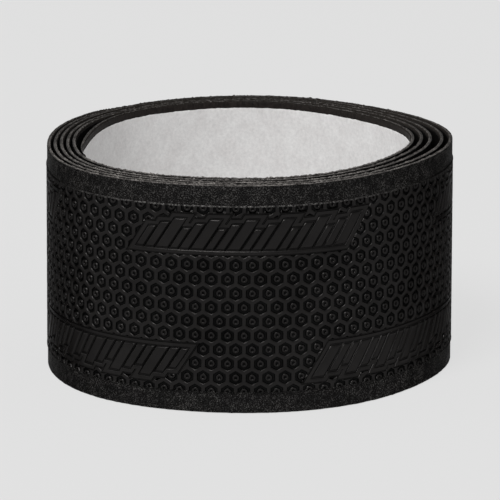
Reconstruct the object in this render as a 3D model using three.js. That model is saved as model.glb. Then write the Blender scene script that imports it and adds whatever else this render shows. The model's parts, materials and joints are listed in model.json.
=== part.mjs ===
// A roll of grip tape, standing on one edge of its turns: a long strip wound on itself with no core.
// The strip is four layers deep: an embossed polyurethane grip face, a felt base, an adhesive film and a
// paper release liner. The last stretch of the outer turn is the free tail. It is cut into short segments,
// and each one lifts about a hinge line on the grip face, so that the tail can be peeled off the roll.
// Units are millimetres, +Z is the roll's axis, and the origin is the middle of the roll at its base.

import * as THREE from 'three';

// The strip, across its width and through its thickness.
const TAPE_WIDTH = 39;
const BORDER_WIDTH = 3.5; // plain strip along each edge of the grip face
const GRIP_THICKNESS = 0.42; // over the embossed field
const BORDER_THICKNESS = 0.3;
const FELT_THICKNESS = 0.3;
const ADHESIVE_THICKNESS = 0.08;
const LINER_THICKNESS = 0.08;
const LAYER_CLEARANCE = 0.02;
const TRIM_SETBACK = 0.1; // felt and adhesive stop this far inside the grip face's edges
const LINER_SETBACK = 1.2;

// The winding. It runs outwards clockwise, seen from above, and angles are counter-clockwise from +X.
const STEP_DEG = 7.5;
const INNER_END_DEG = -157.5;
const WOUND_STEPS = 242;
const INNER_RADIUS = 28.76; // grip face of the first turn, before the waves
const TURN_PITCH = 1.234; // mean distance from one turn to the next

// Waves round the roll, `order` of them to a turn, the first one at `at` degrees. The pitch waves make
// the turns tight at the back left and slack at the front right. The outline waves put the roll out of round.
const PITCH_WAVES = [
  { order: 1, height: 0.263, at: -35 },
  { order: 2, height: 0.052, at: 5 },
];
const OUTLINE_WAVES = [
  { order: 2, height: 0.28, at: -52 },
  { order: 3, height: 0.28, at: -6 },
  { order: 4, height: 0.26, at: 9 },
  { order: 5, height: 0.29, at: 10 },
];

// The first turn bows inwards off the second, and the first three off the fourth on the other side.
// The turn below the tail springs out past the tail's end.
const BOWS = [
  { at: 163, halfWidth: 40, depth: 1.15, turns: 1 },
  { at: 0, halfWidth: 50, depth: 0.5, turns: 3 },
];
const OUTER_SPRING = { rise: 7.5, length: 60, height: 0.4 };

// The free tail.
const TAIL_SEGMENTS = 4;
const STEPS_PER_SEGMENT = 2;
const HINGE_GAP = 0.3;

const FULL_TURN = 360;
const OUTER_END_DEG = (WOUND_STEPS + TAIL_SEGMENTS * STEPS_PER_SEGMENT) * STEP_DEG;

/** The angle from one direction to another, between -180 and 180 degrees. */
function turnBetween(from, to) {
  return THREE.MathUtils.euclideanModulo(to - from + 180, FULL_TURN) - 180;
}

/** The sum of a list of waves in a direction. */
function waveSum(waves, direction) {
  return waves.reduce(
    (sum, { order, height, at }) =>
      sum + height * Math.cos(THREE.MathUtils.degToRad(order * (direction - at))),
    0,
  );
}

/** How far the strip stands inside its regular radius where it bows. */
function inwardBow(woundDeg) {
  let inwards = 0;
  for (const { at, halfWidth, depth, turns } of BOWS) {
    const share = Math.abs(turnBetween(at, INNER_END_DEG - woundDeg)) / halfWidth;
    if (woundDeg < turns * FULL_TURN && share < 1) inwards += depth * Math.cos((share * Math.PI) / 2) ** 2;
  }
  return inwards;
}

/** How far the outer turn stands off, past the end of the tail that lies over it. */
function outerSpring(woundDeg) {
  const past = woundDeg - (OUTER_END_DEG - FULL_TURN);
  if (past <= 0 || past >= OUTER_SPRING.length) return 0;
  const fade = Math.cos((past / OUTER_SPRING.length) * (Math.PI / 2)) ** 2;
  return OUTER_SPRING.height * Math.min(past / OUTER_SPRING.rise, 1) * fade;
}

/** Radius of the grip face's inner side after the strip has been wound through an angle. */
function windingRadius(woundDeg) {
  const direction = INNER_END_DEG - woundDeg;
  const pitch = TURN_PITCH + waveSum(PITCH_WAVES, direction);
  const regular = INNER_RADIUS - GRIP_THICKNESS + (pitch * woundDeg) / FULL_TURN;
  const outline = waveSum(OUTLINE_WAVES, direction);
  return regular + outline - inwardBow(woundDeg) + outerSpring(woundDeg);
}

/** The line between grip face and felt, along one stretch of the winding. */
class WindingCurve extends THREE.Curve {
  constructor(startDeg, endDeg) {
    super();
    this.startDeg = startDeg;
    this.endDeg = endDeg;
  }

  getPoint(t, target = new THREE.Vector3()) {
    const woundDeg = THREE.MathUtils.lerp(this.startDeg, this.endDeg, t);
    const direction = THREE.MathUtils.degToRad(INNER_END_DEG - woundDeg);
    const radius = windingRadius(woundDeg);
    return target.set(radius * Math.cos(direction), radius * Math.sin(direction), 0);
  }

  // Stations at equal angles keep the facets of neighbouring turns and layers parallel.
  getUtoTmapping(u) {
    return u;
  }
}

/** An outline for the strip's section. X runs down from the base line of the roll, Y outwards. */
function sectionShape(points) {
  return new THREE.Shape(points.map(([z, offset]) => new THREE.Vector2(-z, offset)));
}

/** The grip face's section: a thick embossed field between two thinner borders. */
function gripSection() {
  const fieldTop = TAPE_WIDTH - BORDER_WIDTH;
  return sectionShape([
    [0, 0],
    [TAPE_WIDTH, 0],
    [TAPE_WIDTH, BORDER_THICKNESS],
    [fieldTop, BORDER_THICKNESS],
    [fieldTop, GRIP_THICKNESS],
    [BORDER_WIDTH, GRIP_THICKNESS],
    [BORDER_WIDTH, BORDER_THICKNESS],
    [0, BORDER_THICKNESS],
  ]);
}

/** A plain layer's section, under the layers that end at `depth` below the grip face. */
function plainSection(depth, thickness, setback) {
  const outer = -depth - LAYER_CLEARANCE;
  const inner = outer - thickness;
  const top = TAPE_WIDTH - setback;
  return sectionShape([
    [setback, inner],
    [top, inner],
    [top, outer],
    [setback, outer],
  ]);
}

const ADHESIVE_DEPTH = LAYER_CLEARANCE + FELT_THICKNESS;
const LINER_DEPTH = ADHESIVE_DEPTH + LAYER_CLEARANCE + ADHESIVE_THICKNESS;

const LAYERS = [
  {
    name: 'grip_face',
    section: gripSection(),
    look: { color: 0x1d1b1b, roughness: 0.55, metalness: 0 },
  },
  {
    name: 'felt_base',
    section: plainSection(0, FELT_THICKNESS, TRIM_SETBACK),
    look: { color: 0x5e5650, roughness: 0.95, metalness: 0 },
  },
  {
    name: 'adhesive_film',
    section: plainSection(ADHESIVE_DEPTH, ADHESIVE_THICKNESS, TRIM_SETBACK),
    look: { color: 0x2a2420, roughness: 0.3, metalness: 0 },
  },
  {
    name: 'release_liner',
    section: plainSection(LINER_DEPTH, LINER_THICKNESS, LINER_SETBACK),
    look: { color: 0xcfccc8, roughness: 0.7, metalness: 0 },
  },
];

/** One layer of the strip along one stretch of the winding, as a named mesh. */
function layerMesh(layer, stretch) {
  const curve = new WindingCurve(stretch.startDeg, stretch.endDeg);
  const geometry = new THREE.ExtrudeGeometry(layer.section, {
    steps: stretch.steps,
    extrudePath: curve,
  });
  const mesh = new THREE.Mesh(geometry, new THREE.MeshStandardMaterial(layer.look));
  mesh.name = `${layer.name}_${stretch.name}`;
  return mesh;
}

/** The wound roll, then each tail segment, trimmed at both sides of a hinge line. */
function stretches() {
  const woundEnd = WOUND_STEPS * STEP_DEG;
  const outerRadius = windingRadius(woundEnd);
  const trimDeg = THREE.MathUtils.radToDeg(HINGE_GAP / 2 / outerRadius);
  const found = [{ name: 'wound', startDeg: 0, endDeg: woundEnd, steps: WOUND_STEPS }];
  for (let i = 0; i < TAIL_SEGMENTS; i += 1) {
    const start = woundEnd + i * STEPS_PER_SEGMENT * STEP_DEG;
    found.push({
      name: `tail_${i + 1}`,
      startDeg: start + trimDeg,
      endDeg: start + STEPS_PER_SEGMENT * STEP_DEG - trimDeg,
      steps: STEPS_PER_SEGMENT,
    });
  }
  return found;
}

const roll = new THREE.Group();
for (const stretch of stretches()) {
  for (const layer of LAYERS) roll.add(layerMesh(layer, stretch));
}

// Stand the roll with the middle of its box over the origin.
const middle = new THREE.Box3().setFromObject(roll).getCenter(new THREE.Vector3());
roll.position.set(-middle.x, -middle.y, 0);
roll.updateMatrixWorld(true);

export default roll;
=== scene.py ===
"""A roll of grip tape standing on its edge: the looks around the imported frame.

The strip is rebuilt along the same winding as the CAD layers, in millimetres along the strip (`u`),
across it (`z`) and outwards from the line between grip face and felt (`h`), and placed in metres.
"""

import json
import math

import bmesh
import bpy
import numpy as np
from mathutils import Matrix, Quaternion, Vector
from mathutils.geometry import delaunay_2d_cdt


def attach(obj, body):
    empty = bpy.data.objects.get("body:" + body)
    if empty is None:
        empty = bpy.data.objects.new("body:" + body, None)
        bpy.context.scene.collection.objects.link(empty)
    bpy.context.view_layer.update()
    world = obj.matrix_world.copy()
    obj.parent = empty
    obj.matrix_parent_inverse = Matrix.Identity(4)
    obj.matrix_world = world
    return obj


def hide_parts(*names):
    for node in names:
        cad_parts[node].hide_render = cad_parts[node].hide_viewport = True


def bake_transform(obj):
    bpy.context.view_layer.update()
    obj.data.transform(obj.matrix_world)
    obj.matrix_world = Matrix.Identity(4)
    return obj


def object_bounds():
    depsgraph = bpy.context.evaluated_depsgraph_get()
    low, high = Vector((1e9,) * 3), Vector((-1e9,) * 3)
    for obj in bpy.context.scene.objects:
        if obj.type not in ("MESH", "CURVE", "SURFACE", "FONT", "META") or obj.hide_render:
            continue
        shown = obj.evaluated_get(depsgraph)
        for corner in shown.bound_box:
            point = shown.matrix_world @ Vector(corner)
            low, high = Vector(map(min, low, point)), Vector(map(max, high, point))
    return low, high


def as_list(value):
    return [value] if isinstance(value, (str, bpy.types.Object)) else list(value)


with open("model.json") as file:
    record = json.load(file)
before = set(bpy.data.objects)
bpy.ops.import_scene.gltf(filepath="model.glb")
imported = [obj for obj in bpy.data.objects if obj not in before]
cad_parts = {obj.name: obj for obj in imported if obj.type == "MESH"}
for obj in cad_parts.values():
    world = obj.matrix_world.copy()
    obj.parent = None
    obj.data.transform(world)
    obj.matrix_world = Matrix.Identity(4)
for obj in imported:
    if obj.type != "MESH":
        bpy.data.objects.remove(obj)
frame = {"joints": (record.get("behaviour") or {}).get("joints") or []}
cad_low, cad_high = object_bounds()

MM = 0.001

# ---------------------------------------------------------------- the strip, as in the CAD
TAPE_WIDTH = 39.0
BORDER_WIDTH = 3.5
GRIP_THICKNESS = 0.42
BORDER_THICKNESS = 0.30
FELT_THICKNESS = 0.30
ADHESIVE_THICKNESS = 0.08
LINER_THICKNESS = 0.08
LAYER_CLEARANCE = 0.02
TRIM_SETBACK = 0.1
LINER_SETBACK = 1.2

STEP_DEG = 7.5
INNER_END_DEG = -157.5
WOUND_END_DEG = 242 * STEP_DEG
SEGMENT_DEG = 2 * STEP_DEG
TAIL_SEGMENTS = 4
OUTER_END_DEG = WOUND_END_DEG + TAIL_SEGMENTS * SEGMENT_DEG
INNER_RADIUS = 28.76
TURN_PITCH = 1.234
FULL_TURN = 360.0

# Waves round the roll: order, height, at. Bows inwards: at, half width, depth, over the first turns.
PITCH_WAVES = ((1, 0.263, -35), (2, 0.052, 5))
OUTLINE_WAVES = ((2, 0.28, -52), (3, 0.28, -6), (4, 0.26, 9), (5, 0.29, 10))
BOWS = ((163, 40, 1.15, 1), (0, 50, 0.5, 3))
# Past the outer end, the turn below springs out: over what angle it rises and fades, and how far.
SPRING_RISE, SPRING_LENGTH, SPRING_HEIGHT = 7.5, 60, 0.4
BORE_SIDE = -FELT_THICKNESS - ADHESIVE_THICKNESS - LINER_THICKNESS - 3 * LAYER_CLEARANCE

# ---------------------------------------------------------------- the soft strip, in the looks only
# The strip is pressed down to a thin share of itself along its first and last stretch, and trimmed
# narrower there at each edge.
INNER_PRESS, OUTER_PRESS, THINNEST = 15.0, 8.0, 0.05
END_TRIM = 0.15
# The turns stand a little out of upright and drift off the base. At their upper edge they stand off
# the CAD outline, and the inner ones sag inwards.
LEAN = 0.0128
DRIFT = 0.07
SLACK_WAVES = ((1, 0.306, 164), (2, 0.045, 43), (3, 0.231, -8), (4, 0.115, -41), (5, 0.149, -6))
SAG_AT, SAG_HALF_WIDTH, SAG_DEPTH = -110, 50, 0.4
# The cut edges stray from straight, and the felt's fibres stand up over the grip face's edge.
RAGGED_Z, RAGGED_H = 0.02, 0.012
FUZZ = 0.06
FLAT_FROM = 0.4  # the ragged edges of the thin layers end this far in

# ---------------------------------------------------------------- the embossed pattern
CELL_PITCH = 2.74
ROW_PITCH = 2.424
FIRST_ROW = 3.66
FIRST_COLUMN = 1.05  # from the emblem at the front
ROWS = 14
PIT_DEPTH = 0.30
# From the ridge down into each pit: distance to the middle of the hexagon's sides, depth.
RIM = ((1.20, 0.0), (1.12, 0.025), (1.04, 0.10), (0.96, 0.30))
CORNERS = 12
# The boss in each pit: radius and depth below the ridges, from its foot in to its dimple.
BOSS = ((0.70, 0.30), (0.61, 0.12), (0.54, 0.06), (0.33, 0.06), (0.25, 0.12), (0.16, 0.29))
DIMPLE_DEPTH = 0.31
WALL = 0.10  # run of the steep walls at the emblems
# The bead from the border up to the field: place, share of the field's height.
LEDGE = ((-0.16, 0), (-0.08, 0.75), (0.0, 1.3), (0.08, 1.3), (0.18, 1))
LEDGE_FROM, LEDGE_TOP_TO, LEDGE_TO = LEDGE[0][0], LEDGE[-2][0], LEDGE[-1][0]
BEVEL, BEVEL_DROP = 0.14, 0.05  # along the upper edges of the emblems

EMBLEM_PERIOD = 22 * CELL_PITCH
EMBLEM_ROWS = ((27.3, 34.1, 0.0, 1), (4.9, 11.7, 0.5, -1))  # from, to, shift in periods, way up
EMBLEM_SLANT = math.radians(57)
EMBLEM_AT_DEG = -88.0
EMBLEM_RIM = 0.55
EMBLEM_GROUND = 0.20
GROOVE = 0.4
MOAT = ((0.0, 0.0), (0.1, 0.16), (0.2, 0.16), (0.32, 0.0))  # round the outline: distance, depth
MOAT_WIDTH = MOAT[-1][0]
BARS = ((1.9, 0.0), (1.3, 0.8), (1.1, 1.6))  # one group: width, how much lower than the emblem
BAR_GROUPS = 6

EDGE_START = 0.2  # the grip face's flat front ends this far from its edges
# Front to back over the grip face's lower edge: height, distance off the base line.
GRIP_EDGE = ((0.05, 0.29), (0.01, 0.21), (0.0, 0.11), (0.0, 0.0))
SURFACE_STEP = CELL_PITCH / 4
INNER_TURNS_STEP = 0.7
NEAR = 1e-3  # two places this close along the strip are the same


# ---------------------------------------------------------------- materials
class Look:
    """A procedural material on one principled shader, mapped in metres on the object."""

    def __init__(self, name, **settings):
        self.material = bpy.data.materials.new(name)
        self.material.use_nodes = True
        self.nodes = self.material.node_tree.nodes
        self.links = self.material.node_tree.links
        self.shader = self.nodes["Principled BSDF"]
        self.place = self.nodes.new("ShaderNodeTexCoord").outputs["Object"]
        self.height = None
        for socket, value in settings.items():
            self.shader.inputs[socket.replace("_", " ")].default_value = value

    def noise(self, size, detail=3.0, roughness=0.6, stretch=(1, 1, 1)):
        """Noise whose grains are about `size` metres across."""
        mapping = self.nodes.new("ShaderNodeMapping")
        mapping.inputs["Scale"].default_value = stretch
        self.links.new(self.place, mapping.inputs["Vector"])
        texture = self.nodes.new("ShaderNodeTexNoise")
        texture.inputs["Scale"].default_value = 1 / size
        texture.inputs["Detail"].default_value = detail
        texture.inputs["Roughness"].default_value = roughness
        self.links.new(mapping.outputs["Vector"], texture.inputs["Vector"])
        return texture.outputs["Fac"]

    def grains(self, size, feature="F1"):
        """Rounded cells about `size` metres across."""
        texture = self.nodes.new("ShaderNodeTexVoronoi")
        texture.feature = feature
        texture.inputs["Scale"].default_value = 1 / size
        self.links.new(self.place, texture.inputs["Vector"])
        return texture.outputs["Distance"]

    def attribute(self, name):
        """A value stored on the mesh."""
        node = self.nodes.new("ShaderNodeAttribute")
        node.attribute_name = name
        return node.outputs["Fac"]

    def slope(self, start, end):
        """From 0 to 1 along Y, between two places in metres."""
        apart = self.nodes.new("ShaderNodeSeparateXYZ")
        self.links.new(self.place, apart.inputs["Vector"])
        scale = self.nodes.new("ShaderNodeMapRange")
        scale.inputs["From Min"].default_value = start
        scale.inputs["From Max"].default_value = end
        self.links.new(apart.outputs["Y"], scale.inputs["Value"])
        return scale.outputs["Result"]

    def ramp(self, value, stops):
        """A colour ramp over `value`: stops are (place, colour or grey)."""
        ramp = self.nodes.new("ShaderNodeValToRGB")
        points = ramp.color_ramp.elements
        while len(points) < len(stops):
            points.new(0.5)
        for point, (at, colour) in zip(points, stops):
            point.position = at
            point.color = (*colour, 1) if isinstance(colour, tuple) else (colour,) * 3 + (1,)
        self.links.new(value, ramp.inputs["Fac"])
        return ramp.outputs["Color"]

    def blend(self, share, first, second, mode="MIX"):
        mix = self.nodes.new("ShaderNodeMix")
        mix.data_type = "RGBA"
        mix.blend_type = mode
        for value, socket in ((share, "Factor"), (first, "A"), (second, "B")):
            inputs = [s for s in mix.inputs if s.name == socket and s.enabled]
            if isinstance(value, (int, float)):
                inputs[0].default_value = value
            else:
                self.links.new(value, inputs[0])
        return next(s for s in mix.outputs if s.enabled)

    def colour(self, output):
        self.links.new(output, self.shader.inputs["Base Color"])

    def roughness(self, output):
        self.links.new(output, self.shader.inputs["Roughness"])

    def bump(self, height, depth, strength=1.0):
        """Adds relief `depth` metres deep over what is there."""
        bump = self.nodes.new("ShaderNodeBump")
        bump.inputs["Distance"].default_value = depth
        bump.inputs["Strength"].default_value = strength
        self.links.new(height, bump.inputs["Height"])
        if self.height is not None:
            self.links.new(self.height, bump.inputs["Normal"])
        self.height = bump.outputs["Normal"]
        self.links.new(self.height, self.shader.inputs["Normal"])


DARK_TINT = (0.36, 0.36, 0.36, 1)  # a matt skin: its reflection rises little at a glancing angle


def grip_field():
    """Satin black polyurethane, its colour darkened to near black the deeper it lies in the pits: painted
    shade.
    """
    look = Look("polyurethane_field", Metallic=1.0, Specular_Tint=DARK_TINT)
    cloud = look.noise(0.006, 4)
    ridges = look.ramp(cloud, [(0.3, (0.0195, 0.0185, 0.0182)), (0.7, (0.0255, 0.0243, 0.0239))])
    # painted shade: the deeper a point lies in its pit, the nearer black its colour
    painted_pit_shade = look.ramp(look.attribute("depth"), [(0.22, 0.0), (0.7, 1.0)])
    look.colour(look.blend(painted_pit_shade, ridges, look.ramp(cloud, [(0.3, 0.005), (0.7, 0.009)])))
    look.roughness(look.ramp(look.noise(0.0009, 5), [(0.3, 0.3), (0.7, 0.44)]))
    look.bump(look.noise(0.00012, 4), 0.00001)
    return look.material


def coarse_grain(look):
    """The rough surface that the border and its bead share."""
    look.roughness(look.ramp(look.noise(0.0003, 4), [(0.35, 0.36), (0.65, 0.6)]))
    look.bump(look.noise(0.0003, 3, 0.7), 0.00012)
    look.bump(look.grains(0.00022), 0.00006)


def grip_border():
    """The plain border: the same skin with a coarse sparkling grain, denser in patches."""
    look = Look("polyurethane_border", Metallic=1.0, Specular_Tint=DARK_TINT)
    specks = look.noise(0.00019, 2, 0.6)
    base = (0.01, 0.0096, 0.0094)
    few = look.ramp(specks, [(0.54, base), (0.74, (0.0625, 0.0625, 0.0625))])
    many = look.ramp(specks, [(0.5, base), (0.7, (0.125, 0.12, 0.116))])
    look.colour(look.blend(look.ramp(look.noise(0.0014, 3), [(0.4, 0.0), (0.62, 1.0)]), few, many))
    coarse_grain(look)
    return look.material


def ledge_painted_highlight():
    """The bead under the upper border: pale specks of painted highlight, brightest at the front of the
    roll and fading towards the sides.
    """
    look = Look("ledge_painted_highlight", Metallic=1.0, Specular_Tint=DARK_TINT)
    spots = look.noise(0.00042, 4, 0.7)
    # painted highlight: pale specks along the bead
    painted_highlight_specks = look.ramp(spots, [(0.42, (0.018, 0.0172, 0.0169)), (0.66, (0.14, 0.135, 0.13))])
    # painted light: full at the front of the roll, dimmed to a fifth towards the sides
    painted_front_light = look.ramp(look.slope(-0.031, -0.013), [(0.0, 1.0), (1.0, 0.2)])
    look.colour(look.blend(1.0, painted_highlight_specks, painted_front_light, "MULTIPLY"))
    coarse_grain(look)
    return look.material


def cut_edge(name, dark, pale):
    """A slit edge: torn fibres over dark ones in patches, with painted light making it paler along the
    front of the roll and darker towards the back.
    """
    look = Look(name, Specular_IOR_Level=0.15)
    fibres = look.noise(0.0002, 5, 0.75)
    patches = look.ramp(look.noise(0.0016, 3), [(0.35, 0.0), (0.65, 1.0)])
    few = look.ramp(fibres, [(0.38, dark), (0.66, tuple(0.4 * value for value in pale))])
    many = look.ramp(fibres, [(0.36, dark), (0.62, pale)])
    worn = look.blend(patches, few, many)
    # painted light: full at the front of the roll, falling to 0.4 at the back
    painted_front_light = look.ramp(look.slope(-0.03, 0.03), [(0.0, 1.0), (1.0, 0.4)])
    look.colour(look.blend(1.0, worn, painted_front_light, "MULTIPLY"))
    look.roughness(look.ramp(fibres, [(0.3, 0.8), (0.7, 0.95)]))
    look.bump(fibres, 0.0001)
    return look.material


def felt(name, dark, pale):
    """Non-woven backing: brown-black with loose pale fibres."""
    look = Look(name, Specular_IOR_Level=0.1)
    fibres = look.noise(0.00018, 6, 0.8, stretch=(1, 1, 0.35))
    look.colour(look.ramp(fibres, [(0.35, dark), (0.66, pale)]))
    look.roughness(look.ramp(fibres, [(0.3, 0.85), (0.7, 1.0)]))
    look.bump(fibres, 0.00008)
    return look.material


def adhesive(name, dark, pale):
    """Dark tacky film over the felt, uneven, with felt fibres caught in it."""
    look = Look(name, Specular_IOR_Level=0.12)
    streaks = look.noise(0.0004, 5, 0.7, stretch=(1, 1, 0.35))
    look.colour(look.ramp(streaks, [(0.32, dark), (0.68, pale)]))
    look.roughness(look.ramp(streaks, [(0.3, 0.5), (0.7, 0.75)]))
    look.bump(streaks, 0.00006)
    return look.material


def liner_paper():
    """White release paper with faint clouds and a fine grain."""
    look = Look("liner_paper", Specular_IOR_Level=0.15)
    clouds = look.ramp(look.noise(0.003, 4, 0.6), [(0.3, (0.73, 0.715, 0.71)), (0.7, (0.81, 0.805, 0.80))])
    grain = look.ramp(look.noise(0.00055, 5, 0.7), [(0.32, 0.83), (0.68, 1.0)])
    look.colour(look.blend(1.0, clouds, grain, "MULTIPLY"))
    look.roughness(look.ramp(look.noise(0.0012, 4), [(0.3, 0.75), (0.7, 0.9)]))
    look.bump(look.noise(0.0009, 5, 0.6), 0.000012)
    return look.material


FLOOR_WHITE = (0.08, 0.08, 0.08, 1)
FLOOR_LIGHT = (1, 1, 1, 1)
FLOOR_GLOW = 0.675


def floor_paint():
    """A pale light table: most of its brightness is its own, so shadows on it stay faint."""
    look = Look("studio_floor", Base_Color=FLOOR_WHITE, Roughness=0.95, Specular_IOR_Level=0.0)
    look.shader.inputs["Emission Color"].default_value = FLOOR_LIGHT
    look.shader.inputs["Emission Strength"].default_value = FLOOR_GLOW
    return look.material


FELT = felt("felt", (0.006, 0.005, 0.0043), (0.035, 0.030, 0.026))
FELT_CUT = cut_edge("felt_cut_edge", (0.012, 0.0105, 0.0095), (0.36, 0.335, 0.315))
# A lighter copy of the felt for the covered turns: painted light in the gaps between turns.
PAINTED_LIGHT_FELT = felt("felt_painted_light", (0.008, 0.007, 0.0062), (0.045, 0.039, 0.034))
ADHESIVE = adhesive("adhesive", (0.004, 0.0031, 0.0027), (0.024, 0.0192, 0.0168))
# A darker copy of the adhesive for the covered turns: painted shade in the gaps between turns.
PAINTED_SHADE_ADHESIVE = adhesive("adhesive_painted_shade", (0.0012, 0.001, 0.0009), (0.006, 0.005, 0.0045))
LINER_PAPER = liner_paper()
GRIP_LOOKS = (
    grip_field(),
    grip_border(),
    cut_edge("grip_cut_edge", (0.006, 0.0055, 0.005), (0.22, 0.207, 0.195)),
    FELT,
    ledge_painted_highlight(),
)
FIELD, BORDER, CUT, BACK, BEAD = range(len(GRIP_LOOKS))
# Looks of the faces from the front over the lower edge, across the back and over the upper edge.
ROUND_THE_BACK = (BORDER, BORDER, CUT, CUT, BACK, CUT, CUT, BORDER, BORDER)


# ---------------------------------------------------------------- winding
def turn_between(start, end):
    """The smallest turn from one direction to another, in degrees."""
    return (end - start + 180) % FULL_TURN - 180


def wave_sum(waves, direction):
    """The height of waves round the roll, in a direction."""
    return sum(height * np.cos(np.radians(order * (direction - at))) for order, height, at in waves)


def fading(share):
    """From 1 down to 0 as the share goes from 0 to 1, on either side."""
    return np.cos(np.clip(abs(share), 0, 1) * math.pi / 2) ** 2


def winding_radius(wound):
    """Radius in millimetres of the line between grip face and felt, at winding angles."""
    direction = INNER_END_DEG - wound
    pitch = TURN_PITCH + wave_sum(PITCH_WAVES, direction)
    radius = INNER_RADIUS - GRIP_THICKNESS + pitch * wound / FULL_TURN
    radius = radius + wave_sum(OUTLINE_WAVES, direction)
    for at, half_width, depth, turns in BOWS:
        bow = depth * fading(turn_between(at, direction) / half_width)
        radius = radius - np.where(wound < turns * FULL_TURN, bow, 0)
    past = wound - (OUTER_END_DEG - FULL_TURN)
    spring = SPRING_HEIGHT * np.clip(past / SPRING_RISE, 0, 1) * fading(past / SPRING_LENGTH)
    return radius + spring


def winding_point(wound):
    direction = np.radians(INNER_END_DEG - wound)
    radius = winding_radius(wound)
    return np.stack([radius * np.cos(direction), radius * np.sin(direction)], -1)


def winding_normal(wound):
    """Unit vectors out of the roll, square to the strip."""
    step = 0.05
    along = winding_point(wound + step) - winding_point(wound - step)
    outwards = np.stack([-along[..., 1], along[..., 0]], -1)
    return outwards / np.linalg.norm(outwards, axis=-1, keepdims=True)


def hinge_offset():
    """Where the CAD frame puts the winding's middle, from the first hinge."""
    hinge = next(j for j in frame["joints"] if j["name"] == "tail_peel")["pos_m"]
    end = np.array(WOUND_END_DEG)
    direction = math.radians(INNER_END_DEG - WOUND_END_DEG)
    radius = float(winding_radius(end)) + GRIP_THICKNESS
    outline = radius * np.array([math.cos(direction), math.sin(direction)])
    return np.array(hinge[:2]) / MM - outline


MIDDLE = hinge_offset()
TABLE_DEG = np.arange(0, OUTER_END_DEG + 0.25, 0.25)
TABLE_LENGTH = np.concatenate(
    [[0], np.cumsum(np.linalg.norm(np.diff(winding_point(TABLE_DEG), axis=0), axis=1))]
)


def length_at(wound):
    return np.interp(wound, TABLE_DEG, TABLE_LENGTH)


def wound_at(length):
    return np.interp(length, TABLE_LENGTH, TABLE_DEG)


def sideways_drift(wound):
    """How far the turns stand above the base: they are never quite level with each other."""
    turns = wound / FULL_TURN
    return DRIFT * (1 + np.sin(2.3 * turns + 0.4) * np.cos(5.9 * turns))


def pressed(wound, h):
    """The strip is pressed thin at its two ends: from inside at the first, outside at the last."""
    length = length_at(wound)
    first = 1 - (1 - THINNEST) * fading(length / INNER_PRESS)
    last = 1 - (1 - THINNEST) * fading((TABLE_LENGTH[-1] - length) / OUTER_PRESS)
    h = GRIP_THICKNESS + (h - GRIP_THICKNESS) * first
    return h * last + BORE_SIDE * (1 - last)


def trimmed(wound, z):
    """The strip is a little narrower at its two ends."""
    length = length_at(wound)
    near_end = fading(length / INNER_PRESS) + fading((TABLE_LENGTH[-1] - length) / OUTER_PRESS)
    return z + END_TRIM * near_end * (1 - 2 * np.asarray(z) / TAPE_WIDTH)


def slack(wound, z):
    """How far the soft turns stand outside the regular winding, growing from the base upwards."""
    direction = INNER_END_DEG - wound
    sag = SAG_DEPTH * fading(turn_between(SAG_AT, direction) / SAG_HALF_WIDTH)
    upper = wave_sum(SLACK_WAVES, direction) - sag * (1 - wound / OUTER_END_DEG)
    return upper * np.asarray(z) / TAPE_WIDTH


def place(wound, z, h):
    """Points in metres from winding angle, height over the base and distance off the base line."""
    h = pressed(wound, h) + slack(wound, z)
    xy = winding_point(wound) + MIDDLE + winding_normal(wound) * np.asarray(h)[..., None]
    height = trimmed(wound, z) + sideways_drift(wound)
    xy[..., 0] += LEAN * (height - TAPE_WIDTH / 2)
    return np.concatenate([xy, height[..., None]], -1) * MM


# ---------------------------------------------------------------- meshes
SHARP_OVER = math.radians(40)


def make_mesh(name, points, faces, looks_of_faces, materials):
    """A closed mesh in metres with its faces turned outwards, smooth but for its sharp edges."""
    mesh = bpy.data.meshes.new(name)
    mesh.from_pydata([tuple(p) for p in points], [], faces)
    for material in materials:
        mesh.materials.append(material)
    mesh.polygons.foreach_set("material_index", np.asarray(looks_of_faces, np.int32))
    body = bmesh.new()
    body.from_mesh(mesh)
    bmesh.ops.recalc_face_normals(body, faces=body.faces)
    body.to_mesh(mesh)
    body.free()
    mesh.shade_smooth()
    mesh.set_sharp_from_angle(angle=SHARP_OVER)
    mesh.update()
    piece = bpy.data.objects.new(name, mesh)
    bpy.context.scene.collection.objects.link(piece)
    return piece


def sweep(name, section, start_deg, end_deg, step_mm, materials, look_of_face, wobble):
    """A closed strip: a section of (z, h) points carried along the winding.

    look_of_face(side, wound) picks a face's material by its side of the section and its place, and
    wobble(wound, count) gives the shift in z and h of every section point at every station."""
    start, end = length_at(start_deg), length_at(end_deg)
    stations = max(2, int(round((end - start) / step_mm)) + 1)
    wound = wound_at(np.linspace(start, end, stations))
    section = np.array(section)
    count = len(section)
    dz, dh = wobble(wound, count)
    z = section[:, 0] + dz
    h = section[:, 1] + dh
    points = place(np.broadcast_to(wound[:, None], z.shape), z, h).reshape(-1, 3)
    faces, looks = [], []
    for i in range(stations - 1):
        a, b = i * count, (i + 1) * count
        for side in range(count):
            after = (side + 1) % count
            faces.append((a + side, b + side, b + after, a + after))
            looks.append(look_of_face(side, wound[i]))
    faces.append(tuple(range(count)))
    faces.append(tuple(reversed(range((stations - 1) * count, stations * count))))
    looks += [0, 0]
    return make_mesh(name, points, faces, looks, materials)


# ---------------------------------------------------------------- the embossed grip face
def turns_before_emblem():
    """Whole turns from the inner end to the outermost emblem at the front."""
    return math.floor((OUTER_END_DEG - INNER_END_DEG + EMBLEM_AT_DEG) / FULL_TURN)


FRONT_EMBLEM = float(length_at(INNER_END_DEG - EMBLEM_AT_DEG + turns_before_emblem() * FULL_TURN))


def row_shift(row):
    """Where a row's first pit lies along the strip; every other row is half a pitch along."""
    return FRONT_EMBLEM + FIRST_COLUMN + 0.5 * (row % 2) * CELL_PITCH


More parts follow.
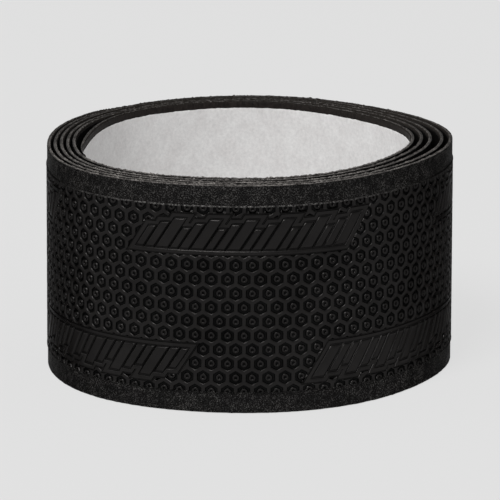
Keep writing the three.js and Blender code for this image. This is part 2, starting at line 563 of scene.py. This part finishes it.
def cell_middles(u_low, u_high):
    """Middles of the pits near a stretch, row by row."""
    middles = []
    for row in range(ROWS):
        shift = row_shift(row)
        first = math.floor((u_low - shift) / CELL_PITCH) - 1
        last = math.ceil((u_high - shift) / CELL_PITCH) + 1
        for column in range(first, last + 1):
            middles.append((column * CELL_PITCH + shift, FIRST_ROW + row * ROW_PITCH))
    return np.array(middles)


def nearest_middle(u, z):
    """The offset of each point from the middle of its cell."""
    row = np.clip(np.round((z - FIRST_ROW) / ROW_PITCH), 0, ROWS - 1)
    best_du = best_dz = None
    for step in (-1, 0, 1):
        candidate = np.clip(row + step, 0, ROWS - 1)
        shift = row_shift(candidate)
        du = u - shift - np.round((u - shift) / CELL_PITCH) * CELL_PITCH
        dz = z - (FIRST_ROW + candidate * ROW_PITCH)
        if best_du is None:
            best_du, best_dz = du, dz
            continue
        closer = du**2 + dz**2 < best_du**2 + best_dz**2
        best_du = np.where(closer, du, best_du)
        best_dz = np.where(closer, dz, best_dz)
    return best_du, best_dz


def hexagon_distance(du, dz):
    """Distance from a cell's middle, measured square to the sides of its upright hexagon."""
    angles = np.radians([0, 60, 120])
    across = [abs(du * math.cos(a) + dz * math.sin(a)) for a in angles]
    return np.maximum.reduce(across)


def pit_level(u, z):
    """Height of the honeycomb below its ridges."""
    du, dz = nearest_middle(u, z)
    across, rim_depths = zip(*reversed(RIM))
    wall = -np.interp(hexagon_distance(du, dz), across, rim_depths)
    radii = [0] + [radius for radius, _ in reversed(BOSS)]
    depths = [-DIMPLE_DEPTH] + [-depth for _, depth in reversed(BOSS)]
    return np.maximum(wall, np.interp(np.hypot(du, dz), radii, depths, right=-PIT_DEPTH))


class Slanted:
    """A parallelogram leaning along the strip, with distances square to its nearest side."""

    def __init__(self, middle_u, low, high, length):
        self.middle = np.array([middle_u, (low + high) / 2])
        self.half_height = (high - low) / 2
        self.half_length = length / 2

    def distance(self, u, z):
        dz = z - self.middle[1]
        du = u - self.middle[0] + dz / math.tan(EMBLEM_SLANT)
        ends = (abs(du) - self.half_length) * math.sin(EMBLEM_SLANT)
        return np.maximum(ends, abs(dz) - self.half_height)

    def outline(self, outwards):
        """Corners of the outline at a distance outside it, ending where it starts."""
        dz = self.half_height + outwards
        du = self.half_length + outwards / math.sin(EMBLEM_SLANT)
        lean = dz / math.tan(EMBLEM_SLANT)
        corners = [(-du + lean, -dz), (du + lean, -dz), (du - lean, dz), (-du - lean, dz)]
        return [self.middle + corner for corner in corners + corners[:1]]


class Emblem:
    """A raised outline round groups of slanted bars that step down from tall to low."""

    def __init__(self, middle_u, low, high, way_up):
        self.middle = (middle_u, (low + high) / 2)
        self.half_height = (high - low) / 2
        self.way_up = way_up
        margin = EMBLEM_RIM + GROOVE
        spacing = 2 * WALL + GROOVE
        length = BAR_GROUPS * sum(width + spacing for width, _ in BARS) - spacing
        self.reach = length / 2 + margin + self.half_height / math.tan(EMBLEM_SLANT)
        self.bars, self.blocks = [], []
        left = -length / 2
        for width, drop in BARS * BAR_GROUPS:
            at = left + width / 2
            self.bars.append(self.block(at, width, drop, margin))
            self.blocks.append(self.block(at, width + 2 * margin, drop, 0))
            left += width + spacing

    def block(self, at, length, drop, margin):
        """A slanted block across the emblem's middle line, lower than the emblem by `drop`."""
        low, high = margin - self.half_height, self.half_height - drop - margin
        if self.way_up < 0:
            at, low, high = -at, -high, -low
        lean = (low + high) / 2 / math.tan(EMBLEM_SLANT)
        middle_u, middle_z = self.middle
        return Slanted(middle_u + at - lean, middle_z + low, middle_z + high, length)

    def distance(self, u, z):
        return np.minimum.reduce([block.distance(u, z) for block in self.blocks])

    def bar_distance(self, u, z):
        return np.minimum.reduce([bar.distance(u, z) for bar in self.bars])


def emblems_near(u_low, u_high):
    """The emblems that touch a stretch."""
    found = []
    for low, high, shift, way_up in EMBLEM_ROWS:
        first = math.floor((u_low - FRONT_EMBLEM) / EMBLEM_PERIOD - shift) - 1
        last = math.ceil((u_high - FRONT_EMBLEM) / EMBLEM_PERIOD - shift) + 1
        for index in range(first, last + 1):
            emblem = Emblem(FRONT_EMBLEM + (index + shift) * EMBLEM_PERIOD, low, high, way_up)
            if u_low - emblem.reach - 1 < emblem.middle[0] < u_high + emblem.reach + 1:
                found.append(emblem)
    return found


def step_level(distance):
    """Height of a raised shape's side, by the distance outside its upper edge."""
    return np.interp(distance, (-BEVEL, 0, WALL), (0, -BEVEL_DROP, -EMBLEM_GROUND))


def face_level(u, z, emblems):
    """Height of the grip face below its ridges: borders, honeycomb and emblems."""
    inside_field = np.minimum(z, TAPE_WIDTH - z) - BORDER_WIDTH
    border = BORDER_THICKNESS - GRIP_THICKNESS
    level = pit_level(u, z)
    for emblem in emblems:
        distance = emblem.distance(u, z)
        raised = np.maximum(step_level(emblem.bar_distance(u, z)), step_level(-EMBLEM_RIM - distance))
        moat = -np.interp(distance, *zip(*MOAT))
        around = np.where(distance < MOAT_WIDTH, moat, level)
        level = np.where(distance < 0, raised, around)
    share = np.interp(inside_field, *zip(*LEDGE))
    full_depth = np.interp(inside_field, (LEDGE_TOP_TO, LEDGE_TO), (0, 1))
    return border * (1 - share) + level * full_depth


class Plan:
    """Points and lines across one stretch of the grip face, for the triangulation."""

    def __init__(self):
        self.points, self.lines = [], []

    def path(self, corners, step=SURFACE_STEP):
        """Adds a broken line through the corners, cut into short pieces."""
        corners = [np.asarray(corner, float) for corner in corners]
        start = len(self.points)
        for a, b in zip(corners, corners[1:]):
            pieces = max(1, int(math.ceil(np.linalg.norm(b - a) / step)))
            self.points.extend(a + (b - a) * k / pieces for k in range(pieces))
        self.points.append(corners[-1])
        last = len(self.points) - 1
        self.lines.extend((k, k + 1) for k in range(start, last))

    def ring(self, points, kept):
        """Adds the lines of a closed ring that have a kept end."""
        after = np.roll(kept, -1)
        used = kept | after | np.roll(kept, 1)
        index = len(self.points) + np.cumsum(used) - 1
        self.points.extend(points[used])
        for k in np.flatnonzero(kept | after):
            self.lines.append((index[k], index[(k + 1) % len(points)]))

    def triangles(self):
        """The triangulation: its points, with those where lines cross, and its triangles."""
        spots = [Vector(point) for point in self.points]
        found, _, faces, *_ = delaunay_2d_cdt(spots, self.lines, [], 0, 1e-5, False)
        return np.array([tuple(spot) for spot in found]), np.array(faces)


def pattern_plan(u_low, u_high, emblems):
    """The plan of the pits, borders and emblems of a stretch, cut at both of its ends."""
    plan = Plan()
    start, end = u_low - CELL_PITCH, u_high + CELL_PITCH
    edge_top = TAPE_WIDTH - EDGE_START
    for z in (EDGE_START, *(BORDER_WIDTH + at for at, _ in LEDGE)):
        plan.path([(start, z), (end, z)])
        plan.path([(start, TAPE_WIDTH - z), (end, TAPE_WIDTH - z)])
    for u in (start, u_low, u_high, end):
        plan.path([(u, EDGE_START), (u, edge_top)], step=TAPE_WIDTH)
    for emblem in emblems:
        for block in emblem.blocks:
            for distance in (*(at for at, _ in MOAT), BEVEL - EMBLEM_RIM, -EMBLEM_RIM, -EMBLEM_RIM - WALL):
                plan.path(block.outline(distance))
        for bar in emblem.bars:
            for distance in (WALL, 0, -BEVEL):
                plan.path(bar.outline(distance))
    add_cells(plan, start, end, emblems)
    return plan


def add_cells(plan, start, end, emblems):
    """Adds the rings of each pit, leaving out what a border or an emblem covers."""
    angles = np.arange(CORNERS) * 2 * math.pi / CORNERS
    from_side = (angles + math.pi / 6) % (math.pi / 3) - math.pi / 6
    sizes = [distance / np.cos(from_side) for distance, _ in RIM]
    sizes += [np.full(CORNERS, radius) for radius, _ in BOSS]
    around = np.stack([np.cos(angles), np.sin(angles)], -1)
    rings = np.array(sizes)[..., None] * around
    field_from = BORDER_WIDTH + LEDGE_TO
    for middle in cell_middles(start + CELL_PITCH, end - CELL_PITCH):
        points = middle + rings
        u, z = points[..., 0], points[..., 1]
        kept = (z > field_from) & (z < TAPE_WIDTH - field_from) & (u > start) & (u < end)
        for emblem in emblems:
            kept &= emblem.distance(u, z) > MOAT_WIDTH
        for ring, ring_kept in zip(points, kept):
            if ring_kept.any():
                plan.ring(ring, ring_kept)


def front_surface(start_deg, end_deg):
    """The embossed front of a stretch: places along and across it, their heights, and triangles."""
    u_low, u_high = length_at(start_deg), length_at(end_deg)
    emblems = emblems_near(u_low, u_high)
    flat, triangles = pattern_plan(u_low, u_high, emblems).triangles()
    middles = flat[triangles].mean(axis=1)
    triangles = triangles[(middles[:, 0] > u_low) & (middles[:, 0] < u_high)]
    used, triangles = np.unique(triangles, return_inverse=True)
    flat = flat[used]
    heights = GRIP_THICKNESS + face_level(*flat.T, emblems)
    return flat, heights, triangles.reshape(-1, 3)


def front_looks(flat, triangles):
    """The look of each triangle of the front: the field, the borders and the upper bead."""
    z = flat[triangles][..., 1].mean(axis=1)
    above_field = z - (TAPE_WIDTH - BORDER_WIDTH)
    border = abs(z - TAPE_WIDTH / 2) > TAPE_WIDTH / 2 - BORDER_WIDTH - LEDGE_TO
    bead = (above_field > -LEDGE_TO) & (above_field < -LEDGE_FROM)
    return np.where(bead, BEAD, np.where(border, BORDER, FIELD)).tolist()


def row_along(flat, on_row):
    """The points of a row, in order along the strip."""
    row = np.flatnonzero(on_row)
    return row[np.argsort(flat[row, 0])]


def edge_rows(stations, rng):
    """Rows of points over the lower cut edge, across the back and over the upper cut edge."""
    places = [*GRIP_EDGE, *((TAPE_WIDTH - at, h) for at, h in reversed(GRIP_EDGE))]
    for at, h in places:
        z = at + RAGGED_Z * rng.standard_normal(len(stations))
        if h:
            h = h + RAGGED_H * rng.standard_normal(len(stations))
        yield place(wound_at(stations), z, np.broadcast_to(h, stations.shape))


def grip_stretch(name, start_deg, end_deg, rng):
    """A closed stretch of grip face with its whole relief: front, cut edges, back and ends."""
    flat, heights, triangles = front_surface(start_deg, end_deg)
    u, z = flat.T
    low_row = row_along(flat, z < EDGE_START + NEAR)
    high_row = row_along(flat, z > TAPE_WIDTH - EDGE_START - NEAR)
    points = [place(wound_at(u), z, heights), *edge_rows(u[low_row], rng)]
    across = len(low_row)
    total = len(flat) + across * (len(points) - 1)
    back = np.arange(len(flat), total).reshape(-1, across)
    grid = [low_row, *back, high_row]

    faces = [tuple(triangle) for triangle in triangles.tolist()]
    looks = front_looks(flat, triangles)
    for look, a, b in zip(ROUND_THE_BACK, grid, grid[1:]):
        for k in range(across - 1):
            faces.append((int(a[k]), int(b[k]), int(b[k + 1]), int(a[k + 1])))
            looks.append(look)
    for end, column in ((0, u < u.min() + NEAR), (-1, u > u.max() - NEAR)):
        climb = np.flatnonzero(column)
        climb = climb[np.argsort(z[climb])]
        faces.append(tuple(back[:, end].tolist() + climb[::-1].tolist()))
        looks.append(CUT)
    piece = make_mesh(name, np.concatenate(points), faces, looks, GRIP_LOOKS)
    depths = np.clip(1 - heights / GRIP_THICKNESS, 0, 1)
    depth = piece.data.attributes.new("depth", "FLOAT", "POINT")
    depth.data.foreach_set("value", np.pad(depths, (0, total - len(flat))).astype(np.float32))
    return piece


# ---------------------------------------------------------------- the other layers
def ragged_edges(rng, edge_points, z_size, h_size, tuck=0.0):
    """Wobble for sweep(): ragged edges, and a strip narrower by `tuck` at both edges once covered."""

    def wobble(wound, count):
        dz = np.zeros((len(wound), count))
        dh = np.zeros((len(wound), count))
        for k in edge_points:
            dz[:, k] = z_size * rng.standard_normal(len(wound))
            dh[:, k] = h_size * rng.standard_normal(len(wound))
        covered = np.clip((wound - FULL_TURN) / SEGMENT_DEG, 0, 1)[:, None]
        upper = np.arange(count) < count / 2
        return dz + tuck * covered * np.where(upper, -1, 1), dh

    return wobble


def layer_section(depth, thickness, low, high, corner):
    """A thin strip's section with broken corners, from its outer side round to its inner one."""
    outer = -depth - LAYER_CLEARANCE
    inner = outer - thickness
    middle = (outer + inner) / 2
    side = [
        (FLAT_FROM, outer),
        (corner, outer),
        (0.3 * corner, outer - 0.25 * thickness),
        (0, middle),
        (0.3 * corner, inner + 0.25 * thickness),
        (corner, inner),
        (FLAT_FROM, inner),
    ]
    return [(high - z, h) for z, h in side] + [(low + z, h) for z, h in reversed(side)]


# Of a thin layer's section: the points that stray, and the sides that show the cut.
EDGE_POINTS = (2, 3, 4, 9, 10, 11)
EDGE_SIDES = (1, 2, 3, 9, 10, 11)
ADHESIVE_DEPTH = LAYER_CLEARANCE + FELT_THICKNESS
LINER_DEPTH = ADHESIVE_DEPTH + LAYER_CLEARANCE + ADHESIVE_THICKNESS
ADHESIVE_SETBACK = 0.16

# Each layer's looks are for the inner wall, the cut edges and the covered turns, where the felt takes a
# lighter copy (painted light) and the adhesive a darker one (painted shade). "ragged" is how far its edges
# stray in z and h, and how much narrower it is at each edge in the covered turns.
LAYERS = {
    "felt_base": {
        "section": layer_section(0, FELT_THICKNESS, 0.05, TAPE_WIDTH + FUZZ, 0.1),
        "looks": (FELT, FELT_CUT, PAINTED_LIGHT_FELT),
        "step": 0.3,
        "ragged": (0.07, 0.03, 0.0),
        "flat_width": TAPE_WIDTH - 2 * TRIM_SETBACK,
    },
    "adhesive_film": {
        "section": layer_section(
            ADHESIVE_DEPTH, ADHESIVE_THICKNESS, ADHESIVE_SETBACK, TAPE_WIDTH - ADHESIVE_SETBACK, 0.03
        ),
        "looks": (ADHESIVE, ADHESIVE, PAINTED_SHADE_ADHESIVE),
        "step": 0.5,
        "ragged": (0.04, 0.004, 0.25),
    },
    "release_liner": {
        "section": layer_section(
            LINER_DEPTH, LINER_THICKNESS, LINER_SETBACK, TAPE_WIDTH - LINER_SETBACK, 0.02
        ),
        "looks": (LINER_PAPER, LINER_PAPER, LINER_PAPER),
        "step": 0.6,
        "ragged": (0.035, 0.0, 4.5),
        "flat_width": TAPE_WIDTH - 2 * LINER_SETBACK,
    },
}


def layer_stretch(layer, name, start_deg, end_deg, rng):
    """One thin layer along one stretch of the winding."""
    facts = LAYERS[layer]
    wall, edge, covered = facts["looks"]
    looks = list(dict.fromkeys(facts["looks"]))

    def look_of_face(side, wound):
        if side in EDGE_SIDES:
            return looks.index(edge)
        # past the first turn, the felt and adhesive take their painted-light and painted-shade copies
        return looks.index(covered if wound > FULL_TURN else wall)

    wobble = ragged_edges(rng, EDGE_POINTS, *facts["ragged"])
    section, step = facts["section"], facts["step"]
    return sweep(name, section, start_deg, end_deg, step, looks, look_of_face, wobble)


def grip_inner_turns(name, end_deg, rng):
    """The covered turns of the grip face: plain, with the same borders and cut edges."""
    lower = [(EDGE_START, BORDER_THICKNESS), *GRIP_EDGE]
    upper = [(TAPE_WIDTH - z, h) for z, h in reversed(lower)]
    field = [
        (TAPE_WIDTH - BORDER_WIDTH, BORDER_THICKNESS),
        (TAPE_WIDTH - BORDER_WIDTH - WALL, GRIP_THICKNESS),
        (BORDER_WIDTH + WALL, GRIP_THICKNESS),
        (BORDER_WIDTH, BORDER_THICKNESS),
    ]
    section = lower + upper + field
    looks = (*ROUND_THE_BACK, BORDER, FIELD, FIELD, FIELD, BORDER)
    edges = [k for k in range(1, len(lower + upper) - 1) if section[k][1] > 0]
    wobble = ragged_edges(rng, edges, RAGGED_Z, RAGGED_H)

    def look_of_face(side, _):
        return looks[side]

    return sweep(name, section, 0, end_deg, INNER_TURNS_STEP, GRIP_LOOKS, look_of_face, wobble)


# ---------------------------------------------------------------- the pieces; the wound ones follow the roll
MARGIN_DEG = 2.4  # the base points taken by each hinge lie this far in from the cuts


def base_point(wound_deg):
    """The middle of the strip at a winding angle."""
    spot = place(np.array([wound_deg]), np.array([TAPE_WIDTH / 2]), np.array([0.0]))
    return tuple(float(x) for x in spot[0])


def bends():
    """Each stretch that crosses a hinge: (number, from, to, hinge, body before, body after)."""
    found = []
    before = "roll"
    for number in range(1, TAIL_SEGMENTS + 1):
        hinge = WOUND_END_DEG + (number - 1) * SEGMENT_DEG
        start = hinge - SEGMENT_DEG / 2
        end = OUTER_END_DEG if number == TAIL_SEGMENTS else hinge + SEGMENT_DEG / 2
        after = f"tail_{number}"
        found.append((number, start, end, hinge, before, after))
        before = after
    return found


def build_layer(layer, make_wound, make_bend):
    """Every piece of one layer, in place of its CAD nodes: those of the wound stretch and the tail."""
    wound = make_wound()
    for piece in wound:
        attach(piece, "roll")
    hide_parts(f"{layer}_wound")
    tail = []
    for number, start, end, hinge, before, after in bends():
        piece = make_bend(f"{layer}_bend_{number}", start, end)
        reach = SEGMENT_DEG / 2 - MARGIN_DEG
        base_point(hinge - reach)
        base_point(hinge + reach)
        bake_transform(piece)
        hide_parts(f"{layer}_tail_{number}")
        tail.append(piece)
    return wound, tail


# The turn that shows is embossed, and so is the stretch under the tail, a piece of its own.
EMBOSSED_FROM_DEG = WOUND_END_DEG - FULL_TURN - STEP_DEG
REAR_CUT_DEG = 211 * STEP_DEG
FIRST_BEND_DEG = WOUND_END_DEG - SEGMENT_DEG / 2


def build_grip():
    rng = np.random.default_rng(7)

    def wound():
        return [
            grip_stretch("grip_face_outer_turn", REAR_CUT_DEG, FIRST_BEND_DEG, rng),
            grip_stretch("grip_face_under_tail", EMBOSSED_FROM_DEG, REAR_CUT_DEG, rng),
            grip_inner_turns("grip_face_inner_turns", EMBOSSED_FROM_DEG, rng),
        ]

    def bend(name, start, end):
        return grip_stretch(name, start, end, rng)

    build_layer("grip_face", wound, bend)


def build_thin(layer, seed):
    rng = np.random.default_rng(seed)

    def wound():
        return [layer_stretch(layer, f"{layer}_turns", 0, FIRST_BEND_DEG, rng)]

    def bend(name, start, end):
        return layer_stretch(layer, name, start, end, rng)

    return build_layer(layer, wound, bend)


build_grip()
for seed, layer in enumerate(LAYERS, start=11):
    (strip,), tail = build_thin(layer, seed)
    if "flat_width" in LAYERS[layer]:
        flat = (LAYERS[layer]["flat_width"] * MM, float(length_at(FIRST_BEND_DEG)) * MM)
        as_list(tail)


# ---------------------------------------------------------------- studio
VIEW_DISTANCE = 0.9154
VIEW_ELEVATION = math.radians(14.47)
VIEW_LENS = 381.5
VIEW_SENSOR = 36
VIEW_ROLL = -0.0112
VIEW_TARGET = Vector((0.000116, 0.00056, 0.01929))
LIGHT_AIM = Vector((0, 0, 0.02))
FLOOR_REACH = 30.0
SKY_GLOW = 0.41


def add_camera():
    """A long lens in front of the roll and a little above it."""
    data = bpy.data.cameras.new("camera")
    data.lens = VIEW_LENS
    data.sensor_width = VIEW_SENSOR
    camera = bpy.data.objects.new("camera", data)
    bpy.context.scene.collection.objects.link(camera)
    away = Vector((0, -math.cos(VIEW_ELEVATION), math.sin(VIEW_ELEVATION)))
    camera.location = Vector((*MIDDLE * MM, cad_high[2] / 2)) + away * VIEW_DISTANCE
    back = (camera.location - VIEW_TARGET).normalized()
    camera.rotation_mode = "QUATERNION"
    camera.rotation_quaternion = back.to_track_quat("Z", "Y") @ Quaternion((0, 0, 1), VIEW_ROLL)
    bpy.context.scene.camera = camera
    bpy.context.scene.view_settings.view_transform = "Standard"


def add_softbox(name, at, size, power):
    """A square soft light aimed at the roll."""
    data = bpy.data.lights.new(name, "AREA")
    data.shape = "SQUARE"
    data.size = size
    data.energy = power
    light = bpy.data.objects.new(name, data)
    light.location = at
    aim = LIGHT_AIM - Vector(at)
    light.rotation_mode = "QUATERNION"
    light.rotation_quaternion = aim.to_track_quat("-Z", "Y")
    bpy.context.scene.collection.objects.link(light)


def add_floor():
    mesh = bpy.data.meshes.new("floor")
    corners = [(x * FLOOR_REACH, y * FLOOR_REACH, 0) for x, y in ((-1, -1), (1, -1), (1, 1), (-1, 1))]
    mesh.from_pydata(corners, [], [(0, 1, 2, 3)])
    mesh.materials.append(floor_paint())
    floor = bpy.data.objects.new("floor", mesh)
    bpy.context.scene.collection.objects.link(floor)


def add_world():
    """An even white surround."""
    world = bpy.data.worlds.new("studio")
    world.use_nodes = True
    background = world.node_tree.nodes["Background"]
    background.inputs["Color"].default_value = (1, 1, 1, 1)
    background.inputs["Strength"].default_value = SKY_GLOW
    bpy.context.scene.world = world


add_camera()
add_floor()
add_world()
add_softbox("key_light", (-0.42, -0.9, 1.25), 0.6, 17.3)
add_softbox("left_light", (-1.1, 0.1, 0.35), 0.5, 1.5)
add_softbox("right_light", (1.1, 0.1, 0.35), 0.5, 1)
